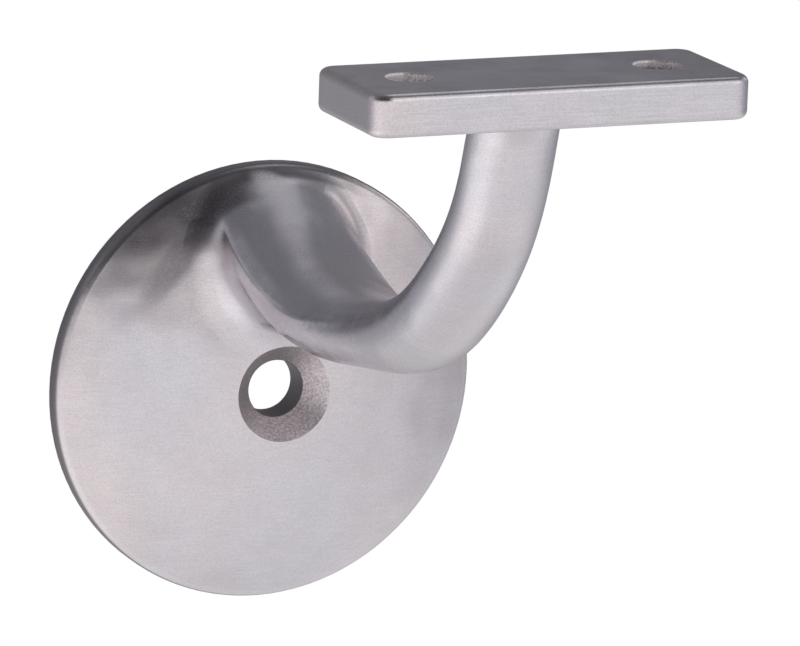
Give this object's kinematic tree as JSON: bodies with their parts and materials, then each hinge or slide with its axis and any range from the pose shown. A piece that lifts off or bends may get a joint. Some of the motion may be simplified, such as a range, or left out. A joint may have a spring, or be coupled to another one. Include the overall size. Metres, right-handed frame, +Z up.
{
  "type": "handrail bracket",
  "caption": "A cast stainless steel handrail bracket: a domed round wall plate with a countersunk screw hole, a swept arm and a flat saddle drilled to screw up into the rail.",
  "frame": {"origin": "centre of the round wall plate, in the plane of the wall it is screwed to", "axes": "+Y into the wall along the screw hole's axis, so the arm reaches out towards -Y; +Z up to the rail; +X along the rail"},
  "size_m": [0.07, 0.1122, 0.1037],
  "materials": {
    "cast_steel": "satin"
  },
  "bodies": {
    "root": {"bracket": "cast_steel"}
  },
  "joints": []
}
